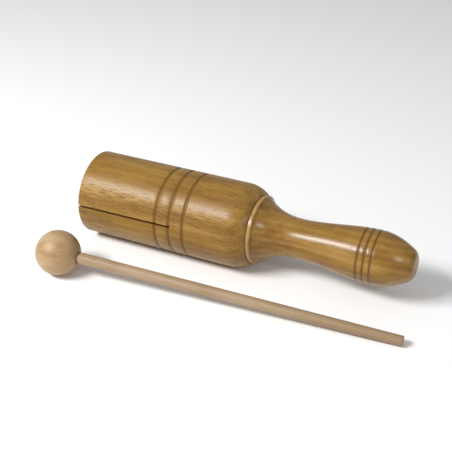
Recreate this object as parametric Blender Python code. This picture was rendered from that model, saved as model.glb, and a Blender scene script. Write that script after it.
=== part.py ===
# Tubular woodblock lying on a table with its beater beside it.
# A turned wooden tube is bored from its mouth and sawn lengthwise, a turned handle is glued into its
# closed end by a tenon, and the beater is a wooden ball on a tapered stick.
# Lengths are in metres. Each turned piece is drawn as an outline of (x, radius) points and spun round X.

import math

import bmesh
import bpy
from mathutils import Vector

# Resonator tube: x runs from the mouth towards the handle
TUBE_RADIUS = 0.0240
TUBE_LENGTH = 0.1033
BORE_RADIUS = 0.0180
CHAMBER_DEPTH = 0.0820
MOUTH_EASE = 0.0006
SHOULDER_RUN = 0.0110
SHOULDER_ROUND = 0.0172
TUBE_GROOVES = 3
TUBE_GROOVE_FROM_MOUTH = 0.0501
TUBE_GROOVE_SPACING = 0.00865
TUBE_GROOVE_WIDTH = 0.0019
TUBE_GROOVE_DEPTH = 0.0005

# Saw cut through the axis: it runs from the mouth to the far edge of one groove, a little askew, and the
# block lies rolled, so that the cut is higher on the beater's side
SLOT_WIDTH = 0.0013
SLOT_END_GROOVE = 2
SLOT_SKEW = math.radians(-0.45)
SLOT_ROLL = math.radians(-5.0)
SLOT_CROSSES_AXIS = 0.0310

# Handle: x runs from the face that seats on the tube towards its round end
TENON_RADIUS = 0.0090
TENON_CHAMFER = 0.0008
FILLET_WIDTH = 0.0021
FILLET_STEP = 0.0007
FILLET_DROP = 0.0012
FILLET_UNDERCUT = 0.0005
COVE_SLOPE = -0.80
NECK_RADIUS = 0.0111
NECK_FROM_SEAT = 0.0243
GRIP_RADIUS = 0.0150
GRIP_FROM_NECK = 0.0435
NOSE_RADIUS = 0.00876
NOSE_FROM_GRIP = 0.0194
NOSE_SLOPE = -0.64
END_ROUND = 0.0054
GRIP_GROOVES = 3
GRIP_GROOVE_BEFORE_GRIP = 0.0066
GRIP_GROOVE_SPACING = 0.0038
GRIP_GROOVE_WIDTH = 0.0014
GRIP_GROOVE_DEPTH = 0.0005

# Beater: x runs from the ball's centre along the stick
BALL_RADIUS = 0.0127
HOLE_RADIUS = 0.0030
HOLE_DEPTH = 0.0140
STICK_LENGTH = 0.1820
STICK_RADIUS_AT_BALL = 0.0033
STICK_RADIUS_AT_END = 0.0028
STICK_CHAMFER = 0.0014
STICK_END_EASE = 0.0003

# Where the ball lies from the middle of the mouth, and how far the stick turns towards the block
BALL_ALONG = 0.0060
BALL_ASIDE = 0.0546
STICK_TURN = math.radians(5.2)

# Clearance left where two pieces seat on each other
SEAT_GAP = 0.0003

# Fineness of the turned faces
TUBE_SEGMENTS = 72
HANDLE_SEGMENTS = 64
BALL_SEGMENTS = 40
STICK_SEGMENTS = 28
SHOULDER_STEPS = 8
COVE_STEPS = 9
BELLY_STEPS = 9
NOSE_STEPS = 8
END_STEPS = 6
BALL_STEPS = 20
WELD = 1e-6
CREASE = math.radians(32)

TAU = 2 * math.pi


def clear_scene():
    for thing in list(bpy.context.scene.objects):
        bpy.data.objects.remove(thing, do_unlink=True)


def wood(name, colour, roughness):
    """A plain wood finish: colour is linear red, green and blue."""
    material = bpy.data.materials.new(name)
    material.use_nodes = True
    shader = material.node_tree.nodes["Principled BSDF"]
    shader.inputs["Base Color"].default_value = (*colour, 1)
    shader.inputs["Roughness"].default_value = roughness
    shader.inputs["Metallic"].default_value = 0
    return material


def arc(centre_x, centre_radius, radius, start, end, steps):
    """Points of a circle's arc, with angles measured from +X towards larger radii."""
    angles = [start + (end - start) * step / steps for step in range(steps + 1)]
    return [(centre_x + radius * math.cos(a), centre_radius + radius * math.sin(a)) for a in angles]


def sweep(x, start, end):
    """Radius at x on the smooth curve between two (x, radius, slope) stations."""
    (x0, r0, slope0), (x1, r1, slope1) = start, end
    run = x1 - x0
    t = (x - x0) / run
    ease = t * t * (3 - 2 * t)
    leave = t * (1 - t) ** 2 * run * slope0
    arrive = t * t * (t - 1) * run * slope1
    return r0 + (r1 - r0) * ease + leave + arrive


def stations(start, end, steps):
    return [start + (end - start) * step / steps for step in range(steps + 1)]


def groove_places(first, spacing, count):
    return [first + spacing * index for index in range(count)]


def cut_grooves(xs, surface, places, width, depth):
    """Outline over stations xs of a surface, with a round-bottomed groove turned at each place."""
    half = width / 2
    clear = [x for x in xs if all(abs(x - place) > half for place in places)]
    inside = [place + half * share for place in places for share in (-1, -0.5, 0, 0.5, 1)]

    def radius(x):
        cuts = [depth * max(0, 1 - ((x - place) / half) ** 2) for place in places]
        return surface(x) - sum(cuts)

    return [(x, radius(x)) for x in sorted(clear + inside)]


def turn(name, outline, segments, material, parent):
    """Spins an outline round X into one closed body. An outline that stays off the axis is a ring."""
    shape = bmesh.new()
    points = [shape.verts.new((x, 0, radius)) for x, radius in outline]
    pairs = list(zip(points, points[1:]))
    if min(outline[0][1], outline[-1][1]) > 0:
        pairs.append((points[-1], points[0]))
    edges = [shape.edges.new(pair) for pair in pairs]
    bmesh.ops.spin(
        shape, geom=points + edges, cent=(0, 0, 0), axis=(1, 0, 0), angle=TAU, steps=segments
    )
    bmesh.ops.remove_doubles(shape, verts=shape.verts, dist=WELD)
    bmesh.ops.recalc_face_normals(shape, faces=shape.faces)
    mesh = bpy.data.meshes.new(name)
    shape.to_mesh(mesh)
    shape.free()
    mesh.shade_smooth()
    mesh.set_sharp_from_angle(angle=CREASE)
    mesh.materials.append(material)
    return place(name, mesh, parent)


def place(name, data, parent):
    thing = bpy.data.objects.new(name, data)
    bpy.context.scene.collection.objects.link(thing)
    thing.parent = parent
    return thing


def shoulder_end_radius():
    return TUBE_RADIUS - SHOULDER_ROUND + math.sqrt(SHOULDER_ROUND**2 - SHOULDER_RUN**2)


def tube_outline():
    straight_end = TUBE_LENGTH - SHOULDER_RUN
    grooves = groove_places(TUBE_GROOVE_FROM_MOUTH, TUBE_GROOVE_SPACING, TUBE_GROOVES)
    side = cut_grooves(
        [MOUTH_EASE], lambda x: TUBE_RADIUS, grooves, TUBE_GROOVE_WIDTH, TUBE_GROOVE_DEPTH
    )
    shoulder = arc(
        straight_end,
        TUBE_RADIUS - SHOULDER_ROUND,
        SHOULDER_ROUND,
        math.pi / 2,
        math.acos(SHOULDER_RUN / SHOULDER_ROUND),
        SHOULDER_STEPS,
    )
    socket_radius = TENON_RADIUS + SEAT_GAP
    inside = [
        (TUBE_LENGTH, socket_radius),
        (CHAMBER_DEPTH, socket_radius),
        (CHAMBER_DEPTH, BORE_RADIUS),
        (MOUTH_EASE, BORE_RADIUS),
        (0, BORE_RADIUS + MOUTH_EASE),
        (0, TUBE_RADIUS - MOUTH_EASE),
    ]
    return side + shoulder + inside


def slot_cutter(parent):
    """A saw blade's path, longer than the tube is wide and open past the mouth."""
    overrun = TUBE_RADIUS / 2
    end = TUBE_GROOVE_FROM_MOUTH + TUBE_GROOVE_SPACING * (SLOT_END_GROOVE - 1) + TUBE_GROOVE_WIDTH / 2
    shape = bmesh.new()
    bmesh.ops.create_cube(shape, size=1)
    size = Vector((end + overrun, 2 * (TUBE_RADIUS + overrun), SLOT_WIDTH))
    bmesh.ops.scale(shape, vec=size, verts=shape.verts)
    bmesh.ops.translate(shape, vec=((end - overrun) / 2 - SLOT_CROSSES_AXIS, 0, 0), verts=shape.verts)
    mesh = bpy.data.meshes.new("slot_cutter")
    shape.to_mesh(mesh)
    shape.free()
    cutter = place("slot_cutter", mesh, parent)
    cutter.location = (SLOT_CROSSES_AXIS, 0, 0)
    cutter.rotation_euler = (SLOT_ROLL, SLOT_SKEW, 0)
    cutter.hide_render = True
    cutter.display_type = "WIRE"
    return cutter


def make_tube(parent):
    material = wood("varnished_tube", (0.37, 0.20, 0.062), 0.32)
    tube = turn("resonator_tube", tube_outline(), TUBE_SEGMENTS, material, parent)
    slot = tube.modifiers.new("tuning_slot", "BOOLEAN")
    slot.operation = "DIFFERENCE"
    slot.solver = "EXACT"
    slot.object = slot_cutter(parent)
    return tube


def handle_outline():
    fillet_radius = shoulder_end_radius() - FILLET_STEP
    cove = (FILLET_WIDTH + FILLET_UNDERCUT, fillet_radius - FILLET_DROP, COVE_SLOPE)
    neck = (NECK_FROM_SEAT, NECK_RADIUS, 0)
    grip = (NECK_FROM_SEAT + GRIP_FROM_NECK, GRIP_RADIUS, 0)
    nose = (grip[0] + NOSE_FROM_GRIP, NOSE_RADIUS, NOSE_SLOPE)

    def surface(x):
        for start, end in ((cove, neck), (neck, grip), (grip, nose)):
            if x <= end[0]:
                return sweep(x, start, end)
        return NOSE_RADIUS

    xs = stations(cove[0], neck[0], COVE_STEPS)
    xs += stations(neck[0], grip[0], BELLY_STEPS)[1:]
    xs += stations(grip[0], nose[0], NOSE_STEPS)[1:]
    first = grip[0] - GRIP_GROOVE_BEFORE_GRIP
    grooves = groove_places(first, GRIP_GROOVE_SPACING, GRIP_GROOVES)
    side = cut_grooves(xs, surface, grooves, GRIP_GROOVE_WIDTH, GRIP_GROOVE_DEPTH)

    slant = math.pi / 2 + math.atan(NOSE_SLOPE)
    centre_x = nose[0] - END_ROUND * math.cos(slant)
    centre_radius = NOSE_RADIUS - END_ROUND * math.sin(slant)
    end = arc(centre_x, centre_radius, END_ROUND, slant, 0, END_STEPS)[1:]

    tenon_end = -(TUBE_LENGTH - CHAMBER_DEPTH)
    tenon = [
        (tenon_end, 0),
        (tenon_end, TENON_RADIUS - TENON_CHAMFER),
        (tenon_end + TENON_CHAMFER, TENON_RADIUS),
        (0, TENON_RADIUS),
        (0, fillet_radius),
        (FILLET_WIDTH, fillet_radius),
    ]
    return tenon + side + end + [(end[-1][0], 0)]


def make_handle(parent):
    material = wood("varnished_handle", (0.38, 0.20, 0.060), 0.28)
    handle = turn("handle", handle_outline(), HANDLE_SEGMENTS, material, parent)
    handle.location = (TUBE_LENGTH + SEAT_GAP, 0, 0)
    return handle


def make_ball(parent):
    """A turned ball with a blind hole for the stick, opening towards +X."""
    hole_edge = math.asin(HOLE_RADIUS / BALL_RADIUS)
    outline = arc(0, 0, BALL_RADIUS, math.pi, hole_edge, BALL_STEPS)
    outline[0] = (-BALL_RADIUS, 0)
    hole_floor = BALL_RADIUS - HOLE_DEPTH
    outline += [(hole_floor, HOLE_RADIUS), (hole_floor, 0)]
    material = wood("bare_ball", (0.62, 0.40, 0.22), 0.55)
    return turn("beater_head", outline, BALL_SEGMENTS, material, parent)


def make_stick(parent):
    """A tapered stick whose thinner tenon seats in the ball's hole."""
    tenon_radius = HOLE_RADIUS - SEAT_GAP
    tenon_start = BALL_RADIUS - HOLE_DEPTH + SEAT_GAP
    shoulder = math.sqrt(BALL_RADIUS**2 - tenon_radius**2) + SEAT_GAP
    end = BALL_RADIUS + STICK_LENGTH
    outline = [
        (tenon_start, 0),
        (tenon_start, tenon_radius),
        (shoulder, tenon_radius),
        (shoulder + STICK_CHAMFER, STICK_RADIUS_AT_BALL),
        (end - STICK_END_EASE, STICK_RADIUS_AT_END),
        (end, STICK_RADIUS_AT_END - STICK_END_EASE),
        (end, 0),
    ]
    material = wood("bare_stick", (0.60, 0.38, 0.21), 0.5)
    return turn("beater_stick", outline, STICK_SEGMENTS, material, parent)


def stick_droop():
    """The angle at which the ball and the stick's far end both touch the table."""
    reach = BALL_RADIUS + STICK_LENGTH
    return math.asin(BALL_RADIUS / math.hypot(reach, STICK_RADIUS_AT_END)) - math.atan(
        STICK_RADIUS_AT_END / reach
    )


def stand_over_origin(row, pieces):
    """Moves the whole set so that its box stands on z = 0 with its middle over the origin."""
    bpy.context.view_layer.update()
    graph = bpy.context.evaluated_depsgraph_get()
    points = []
    for piece in pieces:
        solid = piece.evaluated_get(graph)
        points += [solid.matrix_world @ vertex.co for vertex in solid.data.vertices]
    low = [min(point[axis] for point in points) for axis in range(3)]
    high = [max(point[axis] for point in points) for axis in range(3)]
    row.location = (-(low[0] + high[0]) / 2, -(low[1] + high[1]) / 2, -low[2])


def main():
    clear_scene()
    row = place("woodblock_and_beater", None, None)
    block = place("woodblock", None, row)
    block.location = (0, 0, TUBE_RADIUS)
    beater = place("beater", None, row)
    beater.location = (BALL_ALONG, -BALL_ASIDE, BALL_RADIUS)
    beater.rotation_euler = (0, stick_droop(), STICK_TURN)
    pieces = [make_tube(block), make_handle(block), make_ball(beater), make_stick(beater)]
    stand_over_origin(row, pieces)


main()
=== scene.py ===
import math

import bpy
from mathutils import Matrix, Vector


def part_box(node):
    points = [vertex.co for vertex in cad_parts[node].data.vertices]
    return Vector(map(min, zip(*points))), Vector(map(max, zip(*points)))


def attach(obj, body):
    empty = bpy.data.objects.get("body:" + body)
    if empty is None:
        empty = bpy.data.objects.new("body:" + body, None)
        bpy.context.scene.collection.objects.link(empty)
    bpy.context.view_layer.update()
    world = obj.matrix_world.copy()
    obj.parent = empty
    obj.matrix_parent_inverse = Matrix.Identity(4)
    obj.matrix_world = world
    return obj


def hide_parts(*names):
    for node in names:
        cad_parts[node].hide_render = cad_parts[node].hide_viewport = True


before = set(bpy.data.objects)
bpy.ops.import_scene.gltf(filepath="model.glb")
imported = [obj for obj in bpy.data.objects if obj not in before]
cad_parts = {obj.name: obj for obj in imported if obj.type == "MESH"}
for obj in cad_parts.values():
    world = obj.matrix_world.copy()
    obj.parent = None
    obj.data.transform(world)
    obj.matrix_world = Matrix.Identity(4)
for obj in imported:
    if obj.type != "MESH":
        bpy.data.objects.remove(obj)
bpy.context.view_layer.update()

# Tubular woodblock with its beater
# Lengths are in metres, angles in degrees and lens sizes in millimetres
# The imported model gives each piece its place
print("packed model loaded")


# Places of the turned pieces

def tubePlace():
    low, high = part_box("resonator_tube")
    return (low[0], (low[1] + high[1]) / 2, (low[2] + high[2]) / 2)


def ballPlace(ball):
    low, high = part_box("beater_head")
    return (low[0] + ball["radius"], (low[1] + high[1]) / 2, (low[2] + high[2]) / 2)


# Outlines for the lathe, as (x, radius) points

def arcPoints(centreX, centreR, radius, start, end, steps):
    angles = [start + (end - start) * step / steps for step in range(steps + 1)]
    return [(centreX + radius * math.cos(a), centreR + radius * math.sin(a)) for a in angles]


def spread(start, end, steps):
    return [start + (end - start) * step / steps for step in range(steps + 1)]


def sweepRadius(x, start, end):  # smooth curve between two (x, radius, slope) stations
    (x0, r0, slope0), (x1, r1, slope1) = start, end
    run = x1 - x0
    t = (x - x0) / run
    ease = t * t * (3 - 2 * t)
    return r0 + (r1 - r0) * ease + t * (1 - t) ** 2 * run * slope0 + t * t * (t - 1) * run * slope1


def groovedSide(stations, surface, piece):  # a side with its round-bottomed grooves turned in
    half = piece["grooveWidth"] / 2
    places = piece["grooves"]
    clear = [x for x in stations if all(abs(x - place) > half for place in places)]
    shares = spread(-1, 1, piece["grooveSteps"])
    inside = [place + half * share for place in places for share in shares]

    def radius(x):
        cut = 0
        for place in places:
            if abs(x - place) < half:
                swell = 0.5 + 0.5 * math.cos(math.pi * (x - place) / half)
                cut += piece["grooveDepth"] * swell ** piece["grooveRound"]
        return surface(x) - cut

    return [(x, radius(x)) for x in sorted(clear + inside)]


# Modelling by hand

weldDistance = 0.000002


def startClean():
    if bpy.context.object and bpy.context.object.mode != "OBJECT":
        bpy.ops.object.mode_set(mode="OBJECT")
    bpy.ops.object.select_all(action="DESELECT")


def pickOnly(piece):
    startClean()
    piece.select_set(True)
    bpy.context.view_layer.objects.active = piece


def turnOnLathe(name, outline, piece):  # draws the outline point by point and spins it round X
    startClean()
    bpy.ops.mesh.primitive_plane_add(location=(0, 0, 0))
    turned = bpy.context.object
    turned.name = turned.data.name = name
    bpy.ops.object.mode_set(mode="EDIT")
    bpy.ops.mesh.select_mode(type="VERT")
    bpy.ops.mesh.select_all(action="SELECT")
    bpy.ops.mesh.merge(type="CENTER")
    bpy.ops.transform.translate(value=(outline[0][0], 0, outline[0][1]))
    for (x0, r0), (x1, r1) in zip(outline, outline[1:]):
        bpy.ops.mesh.extrude_region_move(TRANSFORM_OT_translate={"value": (x1 - x0, 0, r1 - r0)})
    bpy.ops.mesh.select_all(action="SELECT")
    bpy.ops.mesh.spin(
        steps=piece["segments"], angle=2 * math.pi, center=(0, 0, 0), axis=(1, 0, 0)
    )
    bpy.ops.mesh.select_all(action="SELECT")
    bpy.ops.mesh.remove_doubles(threshold=weldDistance)
    bpy.ops.mesh.normals_make_consistent(inside=False)
    bpy.ops.object.mode_set(mode="OBJECT")
    bpy.ops.object.shade_smooth_by_angle(angle=math.radians(piece["crease"]))
    return turned


def setDown(piece, place, turn=(0, 0, 0)):  # lays the piece in place and keeps that in its mesh
    pickOnly(piece)
    piece.rotation_euler = turn
    piece.location = place
    bpy.ops.object.transform_apply(location=True, rotation=True, scale=True)


# Shader maths

class Wire:  # one socket, so that shader maths reads as sums
    def __init__(self, finish, socket):
        self.finish = finish
        self.socket = socket

    def maths(self, operation, first, second=0.0):
        return self.finish.node("ShaderNodeMath", {"operation": operation}, {0: first, 1: second})

    def __add__(self, other):
        return self.maths("ADD", self, other)

    def __radd__(self, other):
        return self.maths("ADD", other, self)

    def __sub__(self, other):
        return self.maths("SUBTRACT", self, other)

    def __rsub__(self, other):
        return self.maths("SUBTRACT", other, self)

    def __mul__(self, other):
        return self.maths("MULTIPLY", self, other)

    def __rmul__(self, other):
        return self.maths("MULTIPLY", other, self)

    def __pow__(self, other):
        return self.maths("POWER", self, other)

    def __rpow__(self, other):
        return self.maths("POWER", other, self)

    def sine(self):
        return self.maths("SINE", self)

    def distance(self, place):
        return self.maths("ABSOLUTE", self - place)


class Finish:  # one material and the nodes that make it
    def __init__(self, name):
        self.material = bpy.data.materials.new(name)
        self.material.use_nodes = True
        self.tree = self.material.node_tree
        self.shader = self.tree.nodes["Principled BSDF"]

    def node(self, kind, settings, inputs, output=0):
        made = self.tree.nodes.new(kind)
        for key, value in settings.items():
            if key == "stops":
                self.setStops(made.color_ramp, value)
            else:
                setattr(made, key, value)
        for key, value in inputs.items():
            self.feed(made.inputs[key], value)
        return Wire(self, made.outputs[output])

    def setStops(self, ramp, stops):
        while len(ramp.elements) < len(stops):
            ramp.elements.new(0.5)
        for element, (position, colour) in zip(ramp.elements, stops):
            element.position = position
            element.color = (*colour, 1)

    def feed(self, socket, value):
        if isinstance(value, Wire):
            self.tree.links.new(value.socket, socket)
        else:
            socket.default_value = value

    def step(self, value, low, high):  # 0 below low, 1 above high, smooth between
        return self.node(
            "ShaderNodeMapRange",
            {"interpolation_type": "SMOOTHSTEP"},
            {"Value": value, "From Min": low, "From Max": high, "To Min": 0.0, "To Max": 1.0},
        )

    def noise(self, spot, scale, detail, rough=0.55):
        return self.node(
            "ShaderNodeTexNoise",
            {"noise_dimensions": "3D"},
            {"Vector": spot, "Scale": scale, "Detail": detail, "Roughness": rough},
        )

    def blend(self, share, first, second):
        return self.node("ShaderNodeMix", {"data_type": "RGBA"}, {0: share, 6: first, 7: second}, 2)

    def vectorTimes(self, spot, factors):
        return self.node(
            "ShaderNodeVectorMath", {"operation": "MULTIPLY"}, {0: spot, 1: factors}
        )

    def stretched(self, spot, along):
        return self.vectorTimes(spot, (along, 1.0, 1.0))

    def part(self, spot, axis):
        return self.node("ShaderNodeSeparateXYZ", {}, {"Vector": spot}, axis)

    def constants(self, values):
        for key, value in values.items():
            self.shader.inputs[key].default_value = value


# Wood

woodBasics = {
    "driftDetail": 2.0,
    "ringEdge": (-0.2, 1.0),
    "figureDetail": (4.0, 0.6),
    "fibreDetail": (3.0, 0.65),
    "poreDetail": (2.0, 0.5),
    "poreZoneDetail": 2.0,
    "poreEdge": 0.08,
    "toneStops": (0.28, 0.5, 0.74),
}


class Grain:  # solid wood: rings round a pith beside the piece, fibres and pores along the axis
    def __init__(self, finish, look, place, turn=(0.0, 0.0, 0.0)):
        basics = woodBasics
        spot = finish.node("ShaderNodeTexCoord", {}, {}, "Object")
        self.own = finish.node(
            "ShaderNodeMapping",
            {"vector_type": "TEXTURE"},
            {"Vector": spot, "Location": place, "Rotation": turn},
        )
        self.along = finish.part(self.own, "X")
        apart = finish.node(
            "ShaderNodeVectorMath", {"operation": "ADD"}, {0: self.own, 1: look["pieceOfTimber"]}
        )
        slow = finish.stretched(apart, look["figureStretch"])
        drift = finish.noise(slow, look["driftScale"], basics["driftDetail"])
        fromPithY = finish.part(self.own, "Y") - look["pith"][0]
        fromPithZ = finish.part(self.own, "Z") - look["pith"][1]
        fromPith = (fromPithY * fromPithY + fromPithZ * fromPithZ) ** 0.5
        rings = (fromPith + drift * look["driftAmount"]) * (2 * math.pi / look["ringWidth"])
        self.lateWood = finish.step(rings.sine(), *basics["ringEdge"])
        self.figure = finish.noise(slow, look["figureScale"], *basics["figureDetail"])
        fine = finish.stretched(apart, look["fibreStretch"])
        self.fibres = finish.noise(fine, look["fibreScale"], *basics["fibreDetail"])
        dashes = finish.stretched(apart, look["poreStretch"])
        poreField = finish.noise(dashes, look["poreScale"], *basics["poreDetail"])
        poreZone = finish.noise(slow, look["poreZoneScale"], basics["poreZoneDetail"])
        gathered = poreField + (poreZone - 0.5) * look["poreGathering"]
        low = look["poreThreshold"]
        self.pores = finish.step(gathered, low, low + basics["poreEdge"])

    def colour(self, finish, look):
        stops = zip(woodBasics["toneStops"], (look["deep"], look["middle"], look["light"]))
        fibreTone = (self.fibres - 0.5) * look["fibreShare"]
        ringTone = self.lateWood * look["ringShare"] - look["ringShare"] / 2
        tone = finish.node(
            "ShaderNodeValToRGB", {"stops": list(stops)}, {0: self.figure + fibreTone + ringTone}
        )
        return finish.blend(self.pores * look["poreDepth"], tone, (*look["pore"], 1))


def finishWood(finish, look, grain, colour, extraRoughness=0.0):
    fibreBump, poreBump, figureBump = look["bumpShares"]
    height = grain.fibres * fibreBump - grain.pores * poreBump + grain.figure * figureBump
    fibreRough, poreRough, figureRough = look["roughShares"]
    roughness = look["gloss"] + grain.pores * poreRough + (grain.figure - 0.5) * figureRough
    roughness = roughness + (grain.fibres - 0.5) * fibreRough + extraRoughness
    bump = finish.node(
        "ShaderNodeBump",
        {},
        {"Strength": look["bumpStrength"], "Distance": look["bumpHeight"], "Height": height},
    )
    finish.feed(finish.shader.inputs["Base Color"], colour)
    finish.feed(finish.shader.inputs["Roughness"], roughness)
    finish.feed(finish.shader.inputs["Normal"], bump)
    finish.constants(look["shine"])


def grooveStain(finish, grain, piece):  # stain gathers in the grooves, more along the fibres
    look = piece["wood"]
    half = piece["grooveWidth"] / 2
    inner, outer = look["stainEdge"]
    stain = 0.0
    for groove in piece["grooves"]:
        away = finish.step(grain.along.distance(groove), half * inner, half * outer)
        stain = stain + (1.0 - away)
    everywhere, onFibres = look["stainShares"]
    return stain * (everywhere + grain.fibres * onFibres)


# Resonator tube

toneTube = {
    "radius": 0.0240,
    "length": 0.1033,
    "bore": 0.0180,
    "chamber": 0.0820,
    "mouthEase": 0.0006,
    "shoulderRun": 0.0110,
    "shoulderRound": 0.0172,
    "grooves": [0.0501, 0.05875, 0.0674],
    "grooveWidth": 0.0023,
    "grooveDepth": 0.0005,
    "grooveRound": 0.7,
    "socket": 0.0093,
    "slotWidth": 0.0013,
    "slotEnd": 0.0597,
    "slotSkew": -0.45,
    "slotRoll": -5.0,
    "slotCrossesAxis": 0.0310,
    "segments": 168,
    "crease": 35,
    "easeSteps": 6,
    "sideSteps": 24,
    "shoulderSteps": 24,
    "grooveSteps": 12,
    "wood": {
        "pieceOfTimber": (0.31, 0.12, 0.07),
        "pith": (0.045, -0.060),
        "ringWidth": 0.0042,
        "ringShare": 0.10,
        "driftScale": 22.0,
        "driftAmount": 0.010,
        "figureStretch": 0.16,
        "figureScale": 95.0,
        "fibreStretch": 0.035,
        "fibreScale": 1500.0,
        "fibreShare": 0.34,
        "poreStretch": 0.07,
        "poreScale": 2300.0,
        "poreZoneScale": 70.0,
        "poreGathering": 0.42,
        "poreThreshold": 0.60,
        "poreDepth": 0.62,
        "deep": (0.180, 0.086, 0.013),
        "middle": (0.262, 0.140, 0.024),
        "light": (0.345, 0.202, 0.052),
        "pore": (0.120, 0.045, 0.012),
        # painted shade for the slot walls and the bore
        "sawn": (0.060, 0.022, 0.008),
        "groove": (0.150, 0.066, 0.012),
        "stainEdge": (0.55, 1.15),
        "stainShares": (0.55, 0.5),
        "outsideSkin": (0.0012, 0.0009),
        "wallSkin": (0.0009, 0.0004),
        "rimFade": (0.0006, 0.0012),
        "floorFade": (0.0800, 0.0830),
        "sawnStrength": 0.8,
        "sawnRoughness": 0.35,
        "smudgeScale": 130.0,
        "smudgeDetail": (3.0, 0.6),
        "smudgeEdge": (0.56, 0.68),
        # stain spots on the shoulder, partly painted shade
        "smudgeAndShadeStrength": 0.55,
        "shoulderShadeFade": (0.011, 0.003),
        "bumpShares": (0.35, 0.8, 0.25),  # fibres, pores, figure
        "bumpStrength": 0.7,
        "bumpHeight": 0.00016,
        "gloss": 0.40,
        "roughShares": (0.0, 0.22, 0.14),  # fibres, pores, figure
        "shine": {
            "Coat Weight": 0.12,
            "Coat Roughness": 0.25,
            "IOR": 1.45,
            "Specular IOR Level": 0.32,
        },
    },
}


def shoulderEndRadius(tube):
    run, rounding = tube["shoulderRun"], tube["shoulderRound"]
    return tube["radius"] - rounding + math.sqrt(rounding**2 - run**2)


def sawTube(piece, tube):  # the saw cut, open past the mouth and through both walls
    startClean()
    over = tube["radius"] / 2
    bpy.ops.mesh.primitive_cube_add(size=1, location=(0, 0, 0))
    saw = bpy.context.object
    saw.scale = (tube["slotEnd"] + over, 2 * (tube["radius"] + over), tube["slotWidth"])
    skew = math.radians(tube["slotSkew"])
    middle = (tube["slotEnd"] - over) / 2 - tube["slotCrossesAxis"]
    saw.rotation_euler = (math.radians(tube["slotRoll"]), skew, 0)
    saw.location = (tube["slotCrossesAxis"] + middle * math.cos(skew), 0, -middle * math.sin(skew))
    pickOnly(piece)
    cut = piece.modifiers.new("sawCut", "BOOLEAN")
    cut.operation = "DIFFERENCE"
    cut.solver = "EXACT"
    cut.object = saw
    bpy.ops.object.modifier_apply(modifier=cut.name)
    bpy.data.objects.remove(saw, do_unlink=True)
    bpy.ops.object.shade_smooth_by_angle(angle=math.radians(tube["crease"]))


def makeToneTube(tube, place):
    ease, outer, bore = tube["mouthEase"], tube["radius"], tube["bore"]
    straightEnd = tube["length"] - tube["shoulderRun"]
    outline = arcPoints(ease, outer - ease, ease, math.pi, math.pi / 2, tube["easeSteps"])
    stations = spread(ease, straightEnd, tube["sideSteps"])[1:-1]
    outline += groovedSide(stations, lambda x: outer, tube)
    outline += arcPoints(
        straightEnd,
        outer - tube["shoulderRound"],
        tube["shoulderRound"],
        math.pi / 2,
        math.acos(tube["shoulderRun"] / tube["shoulderRound"]),
        tube["shoulderSteps"],
    )
    outline += [(tube["length"], tube["socket"]), (tube["chamber"], tube["socket"])]
    outline += [(tube["chamber"], bore)]
    outline += arcPoints(ease, bore + ease, ease, 1.5 * math.pi, math.pi, tube["easeSteps"])
    outline.append(outline[0])
    piece = turnOnLathe("toneTube", outline, tube)
    sawTube(piece, tube)
    setDown(piece, place)
    return piece


def varnishTube(tube, place):
    look = tube["wood"]
    finish = Finish("varnishedTubeWood")
    grain = Grain(finish, look, place)
    colour = grain.colour(finish, look)
    across = finish.vectorTimes(grain.own, (0.0, 1.0, 1.0))
    radius = finish.node("ShaderNodeVectorMath", {"operation": "LENGTH"}, {0: across}, "Value")

    def outsideOf(skin):  # 1 on the outside, 0 below the skin
        return finish.step(radius, tube["radius"] - skin[0], tube["radius"] - skin[1])

    groove = (*look["groove"], 1)
    stain = grooveStain(finish, grain, tube) * outsideOf(look["outsideSkin"])
    colour = finish.blend(stain, colour, groove)

    # painted shade: the sawn walls of the slot and the bore are painted darker than the varnished
    # outside, as shade falls inside them
    behindRim = finish.step(grain.along, *look["rimFade"])
    beforeFloor = 1.0 - finish.step(grain.along, *look["floorFade"])
    sawn = (1.0 - outsideOf(look["wallSkin"])) * (behindRim * beforeFloor)
    colour = finish.blend(sawn * look["sawnStrength"], colour, (*look["sawn"], 1))

    # darker stain spots on the shoulder, strongest where it turns from the light, so partly painted
    # shade
    smudge = finish.noise(grain.own, look["smudgeScale"], *look["smudgeDetail"])
    fadeIn, fadeOut = look["shoulderShadeFade"]
    shoulder = finish.step(grain.along, tube["length"] - fadeIn, tube["length"] - fadeOut)
    # stain spots and painted shade, faded in towards the shoulder's end
    stainAndShadeSpots = finish.step(smudge, *look["smudgeEdge"]) * shoulder * look["smudgeAndShadeStrength"]
    colour = finish.blend(stainAndShadeSpots, colour, groove)
    finishWood(finish, look, grain, colour, sawn * look["sawnRoughness"])
    return finish.material


# Handle

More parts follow.
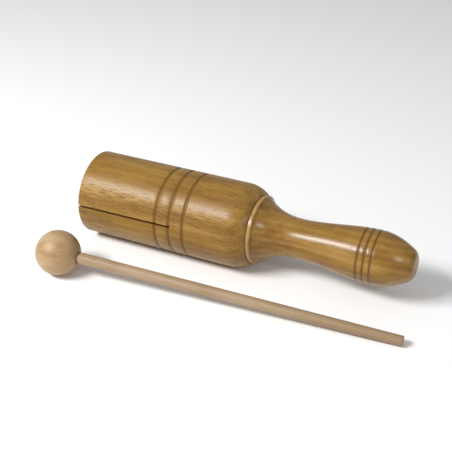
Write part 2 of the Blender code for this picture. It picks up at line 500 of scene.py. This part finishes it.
turnedHandle = {
    "tenonRadius": 0.0090,
    "tenonLength": 0.0213,
    "tenonChamfer": 0.0008,
    "seatGap": 0.0003,
    "filletWidth": 0.0021,
    "filletStep": 0.0007,
    "filletDrop": 0.0012,
    "filletUndercut": 0.0005,
    "filletEase": 0.0002,
    "seamClosed": 0.0002,
    "coveSlope": -0.80,
    "neckRadius": 0.0111,
    "neckAt": 0.0243,
    "gripRadius": 0.0150,
    "gripAt": 0.0678,
    "noseRadius": 0.00876,
    "noseAt": 0.0872,
    "noseSlope": -0.64,
    "endRound": 0.0054,
    "grooves": [0.0612, 0.0650, 0.0688],
    "grooveWidth": 0.0016,
    "grooveDepth": 0.0005,
    "grooveRound": 0.7,
    "segments": 144,
    "crease": 40,
    "coveSteps": 26,
    "bellySteps": 40,
    "noseSteps": 28,
    "endSteps": 18,
    "easeSteps": 4,
    "grooveSteps": 12,
    "wood": dict(
        toneTube["wood"],
        pieceOfTimber=(0.12, 0.43, 0.29),
        pith=(-0.035, -0.050),
        figureScale=120.0,
        ringWidth=0.0034,
        poreGathering=0.36,
        poreThreshold=0.63,
        stainEdge=(0.3, 1.3),
        stainShares=(0.6, 0.5),
        # painted light on the fillet band
        paintedBandLight=(0.400, 0.245, 0.085),
        paintedBandLightFade=(-0.0002, 0.0003),
        paintedBandLightStrength=0.7,
        # darker reddish stain patches, partly painted shade in the cove
        stainAndShadePatch=(0.185, 0.066, 0.018),
        patchScale=110.0,
        patchDetail=(3.0, 0.6),
        patchEdge=(0.50, 0.66),
        patchShares=(0.25, 0.6),
        stainAndShadePatchStrength=0.7,
        coveShadeAt=0.012,
        coveShadeFade=(0.006, 0.017),
        bumpShares=(0.3, 0.7, 0.25),
        gloss=0.30,
        roughShares=(0.0, 0.2, 0.12),
        shine={
            "Coat Weight": 0.18,
            "Coat Roughness": 0.18,
            "IOR": 1.45,
            "Specular IOR Level": 0.36,
        },
    ),
}


def handleSide(handle, fillet):  # cove, neck, grip and nose, with the end rounded over
    cove = (
        handle["filletWidth"] + handle["filletUndercut"],
        fillet - handle["filletDrop"],
        handle["coveSlope"],
    )
    neck = (handle["neckAt"], handle["neckRadius"], 0)
    grip = (handle["gripAt"], handle["gripRadius"], 0)
    nose = (handle["noseAt"], handle["noseRadius"], handle["noseSlope"])

    def surface(x):
        for start, end in ((cove, neck), (neck, grip), (grip, nose)):
            if x <= end[0]:
                return sweepRadius(x, start, end)
        return nose[1]

    stations = spread(cove[0], neck[0], handle["coveSteps"])
    stations += spread(neck[0], grip[0], handle["bellySteps"])[1:]
    stations += spread(grip[0], nose[0], handle["noseSteps"])[1:]
    slant = math.pi / 2 + math.atan(handle["noseSlope"])
    rounding = handle["endRound"]
    centreX = nose[0] - rounding * math.cos(slant)
    centreR = nose[1] - rounding * math.sin(slant)
    end = arcPoints(centreX, centreR, rounding, slant, 0, handle["endSteps"])[1:]
    return groovedSide(stations, surface, handle) + end + [(end[-1][0], 0)]


def makeHandle(handle, tube, place):
    fillet = shoulderEndRadius(tube) - handle["filletStep"]
    ease, closed, steps = handle["filletEase"], handle["seamClosed"], handle["easeSteps"]
    tenonEnd, tenon = -handle["tenonLength"], handle["tenonRadius"]
    chamfer = handle["tenonChamfer"]
    outline = [(tenonEnd, 0), (tenonEnd, tenon - chamfer), (tenonEnd + chamfer, tenon)]
    outline += [(-closed, tenon)]
    outline += arcPoints(ease - closed, fillet - ease, ease, math.pi, math.pi / 2, steps)
    outline += arcPoints(
        handle["filletWidth"] - ease, fillet - ease, ease, math.pi / 2, 0, steps
    )
    outline += handleSide(handle, fillet)
    piece = turnOnLathe("turnedHandle", outline, handle)
    setDown(piece, place)
    return piece


def varnishHandle(handle, place):
    look = handle["wood"]
    finish = Finish("varnishedHandleWood")
    grain = Grain(finish, look, place)
    colour = grain.colour(finish, look)
    stain = grooveStain(finish, grain, handle)
    colour = finish.blend(stain, colour, (*look["groove"], 1))

    # painted light: the fillet band is painted lighter than its neighbours, which turn away from
    # the light
    fadeIn, fadeOut = (handle["filletWidth"] + fade for fade in look["paintedBandLightFade"])
    paintedLightBand = 1.0 - finish.step(grain.along, fadeIn, fadeOut)
    colour = finish.blend(paintedLightBand * look["paintedBandLightStrength"], colour, (*look["paintedBandLight"], 1))

    # darker reddish stain patches, with painted shade added most of all in the cove, which turns
    # from the light
    coveShade = 1.0 - finish.step(grain.along.distance(look["coveShadeAt"]), *look["coveShadeFade"])
    cloud = finish.noise(grain.own, look["patchScale"], *look["patchDetail"])
    everywhere, inCoveShade = look["patchShares"]
    stainAndShadePatches = finish.step(cloud, *look["patchEdge"]) * (everywhere + coveShade * inCoveShade)
    colour = finish.blend(stainAndShadePatches * look["stainAndShadePatchStrength"], colour, (*look["stainAndShadePatch"], 1))
    finishWood(finish, look, grain, colour)
    return finish.material


# Beater

beaterBall = {
    "radius": 0.0127,
    "holeRadius": 0.0030,
    "holeDepth": 0.0140,
    "rimEase": 0.0003,
    "segments": 96,
    "crease": 40,
    "sideSteps": 56,
    "wood": dict(
        toneTube["wood"],
        pieceOfTimber=(0.52, 0.24, 0.33),
        pith=(0.030, 0.020),
        ringWidth=0.0026,
        ringShare=0.04,
        figureScale=150.0,
        fibreShare=0.30,
        poreScale=3000.0,
        poreStretch=0.12,
        poreThreshold=0.66,
        poreGathering=0.20,
        poreDepth=0.35,
        deep=(0.300, 0.172, 0.070),
        middle=(0.410, 0.275, 0.145),
        light=(0.470, 0.335, 0.205),
        pore=(0.330, 0.170, 0.070),
        # painted shade on the ball's side turned from the light
        farEndDarkFade=(-0.004, 0.014),
        farEndDarkShares=(0.35, 0.3),
        bumpShares=(0.5, 0.5, 0.2),
        bumpStrength=0.35,
        bumpHeight=0.00008,
        gloss=0.46,
        roughShares=(0.1, 0.15, 0.16),
        shine={"IOR": 1.48, "Specular IOR Level": 0.4, "Sheen Weight": 0.05},
    ),
}

beaterStick = {
    "length": 0.1820,
    "radiusAtBall": 0.0033,
    "radiusAtEnd": 0.0028,
    "chamfer": 0.0014,
    "endEase": 0.0004,
    "gap": 0.0003,
    "turn": 5.2,
    "segments": 48,
    "crease": 40,
    "sideSteps": 24,
    "easeSteps": 5,
    "wood": dict(
        beaterBall["wood"],
        pieceOfTimber=(0.17, 0.64, 0.41),
        deep=(0.255, 0.160, 0.080),
        middle=(0.320, 0.220, 0.130),
        light=(0.380, 0.275, 0.180),
        ringWidth=0.0018,
        fibreShare=0.42,
        farEndDarkFade=(0.06, 0.19),
        gloss=0.50,
    ),
}


def stickTurn(ball, stick):  # the ball and the stick's far end both touch the table
    reach = ball["radius"] + stick["length"]
    droop = math.asin(ball["radius"] / math.hypot(reach, stick["radiusAtEnd"]))
    droop -= math.atan(stick["radiusAtEnd"] / reach)
    return (0.0, droop, math.radians(stick["turn"]))


def makeBall(ball, place, turn):
    edge = math.asin((ball["holeRadius"] + ball["rimEase"]) / ball["radius"])
    outline = arcPoints(0, 0, ball["radius"], math.pi, edge, ball["sideSteps"])
    outline[0] = (-ball["radius"], 0)
    rimX = ball["radius"] * math.cos(edge)
    outline += [(rimX - ball["rimEase"], ball["holeRadius"])]
    floorX = ball["radius"] - ball["holeDepth"]
    outline += [(floorX, ball["holeRadius"]), (floorX, 0)]
    piece = turnOnLathe("beaterBall", outline, ball)
    setDown(piece, place, turn)
    return piece


def makeStick(ball, stick, place, turn):
    tenon = ball["holeRadius"] - stick["gap"]
    tenonStart = ball["radius"] - ball["holeDepth"] + stick["gap"]
    shoulder = math.sqrt(ball["radius"] ** 2 - tenon**2) + stick["gap"]
    end = ball["radius"] + stick["length"]
    ease, thick, thin = stick["endEase"], stick["radiusAtBall"], stick["radiusAtEnd"]
    first = shoulder + stick["chamfer"]
    outline = [(tenonStart, 0), (tenonStart, tenon), (shoulder, tenon), (first, thick)]
    for share in spread(0, 1, stick["sideSteps"])[1:-1]:
        outline += [(first + (end - ease - first) * share, thick + (thin - thick) * share)]
    outline += arcPoints(end - ease, thin - ease, ease, math.pi / 2, 0, stick["easeSteps"])
    outline += [(end, 0)]
    piece = turnOnLathe("beaterStick", outline, stick)
    setDown(piece, place, turn)
    return piece


def sandBareWood(name, look, place, turn):  # the wood is darker and warmer towards the piece's far end; on the ball this is painted shade on the side turned from the light
    finish = Finish(name)
    grain = Grain(finish, look, place, turn)
    colour = grain.colour(finish, look)
    everywhere, onFigure = look["farEndDarkShares"]
    # darker towards the far end; on the ball this is painted shade
    farEndDarkening = finish.step(grain.along, *look["farEndDarkFade"]) * (everywhere + grain.figure * onFigure)
    colour = finish.blend(farEndDarkening, colour, (*look["deep"], 1))
    finishWood(finish, look, grain, colour)
    return finish.material


# Making the pieces

def hand(piece, material, node, body):
    piece.data.materials.clear()
    piece.data.materials.append(material)
    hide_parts(node)
    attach(piece, body)


mouth = tubePlace()
seat = (mouth[0] + toneTube["length"] + turnedHandle["seatGap"], mouth[1], mouth[2])
ballCentre = ballPlace(beaterBall)
beaterTurn = stickTurn(beaterBall, beaterStick)

tubePiece = makeToneTube(toneTube, mouth)
tubeWood = varnishTube(toneTube, mouth)
hand(tubePiece, tubeWood, "resonator_tube", "block")
print("tone tube turned, bored and sawn")

handlePiece = makeHandle(turnedHandle, toneTube, seat)
handleWood = varnishHandle(turnedHandle, seat)
hand(handlePiece, handleWood, "handle", "block")
print("handle turned")

ballPiece = makeBall(beaterBall, ballCentre, beaterTurn)
ballWood = sandBareWood("sandedBallWood", beaterBall["wood"], ballCentre, beaterTurn)
hand(ballPiece, ballWood, "beater_head", "beater")
stickPiece = makeStick(beaterBall, beaterStick, ballCentre, beaterTurn)
stickWood = sandBareWood("sandedStickWood", beaterStick["wood"], ballCentre, beaterTurn)
hand(stickPiece, stickWood, "beater_stick", "beater")
print("beater turned")


# Floor, light and camera

studio = {
    "floorSize": 6.0,
    "floorBelow": 0.0002,
    "floorColour": (0.93, 0.93, 0.93),
    "floorRoughness": 0.9,
    "fleckScale": 900.0,
    "fleckDetail": 2.0,
    "fleckLift": 1.02,
    "worldStrength": 0.40,
    "keyPower": 9.0,
    "keyPlace": (-0.409, -0.534, 0.655),
    "keySize": (0.42, 0.20),
    "lightAim": (-0.03, 0.0, 0.03),
    "sidePower": 1.3,
    "sidePlace": (0.66, -0.43, 0.57),
    "sideSize": (0.14, 0.14),
    "cameraPlace": (0.19979, -0.41804, 0.30393),
    "cameraTurn": (59.915, 0.0, 25.885),
    "cameraSensor": 36,
    "cameraLens": 79.65,
    "cameraNear": 0.01,
}


def makeFloor(setup):
    startClean()
    bpy.ops.mesh.primitive_plane_add(
        size=setup["floorSize"], location=(0, 0, -setup["floorBelow"])
    )
    floor = bpy.context.object
    floor.name = "studioFloor"
    paper = Finish("paleFloorPaper")
    spot = paper.node("ShaderNodeTexCoord", {}, {}, "Object")
    fleck = paper.noise(spot, setup["fleckScale"], setup["fleckDetail"])
    pale = (*setup["floorColour"], 1)
    paler = (*(channel * setup["fleckLift"] for channel in setup["floorColour"]), 1)
    paper.feed(paper.shader.inputs["Base Color"], paper.blend(fleck, pale, paler))
    paper.constants({"Roughness": setup["floorRoughness"], "Specular IOR Level": 0.0})
    floor.data.materials.append(paper.material)


def makeRoomLight(strength):
    world = bpy.data.worlds.new("softWhiteRoom")
    world.use_nodes = True
    background = world.node_tree.nodes["Background"]
    background.inputs["Color"].default_value = (1, 1, 1, 1)
    background.inputs["Strength"].default_value = strength
    bpy.context.scene.world = world


def addSoftbox(name, place, aim, size, power):
    startClean()
    bpy.ops.object.light_add(type="AREA", location=place)
    lamp = bpy.context.object
    lamp.name = name
    lamp.data.shape = "RECTANGLE"
    lamp.data.size, lamp.data.size_y = size
    lamp.data.energy = power
    level = math.hypot(aim[0] - place[0], aim[1] - place[1])
    tilt = math.atan2(level, place[2] - aim[2])
    heading = math.atan2(aim[1] - place[1], aim[0] - place[0]) - math.pi / 2
    lamp.rotation_euler = (tilt, 0, heading)


def addCamera(setup):
    startClean()
    bpy.ops.object.camera_add(location=setup["cameraPlace"])
    camera = bpy.context.object
    camera.rotation_euler = tuple(math.radians(angle) for angle in setup["cameraTurn"])
    camera.data.sensor_width = setup["cameraSensor"]
    camera.data.lens = setup["cameraLens"]
    camera.data.clip_start = setup["cameraNear"]
    bpy.context.scene.camera = camera


makeFloor(studio)
makeRoomLight(studio["worldStrength"])
for light in ("key", "side"):
    addSoftbox(
        light + "Softbox",
        studio[light + "Place"],
        studio["lightAim"],
        studio[light + "Size"],
        studio[light + "Power"],
    )
addCamera(studio)
bpy.context.scene.view_settings.view_transform = "Standard"
print("studio set up")
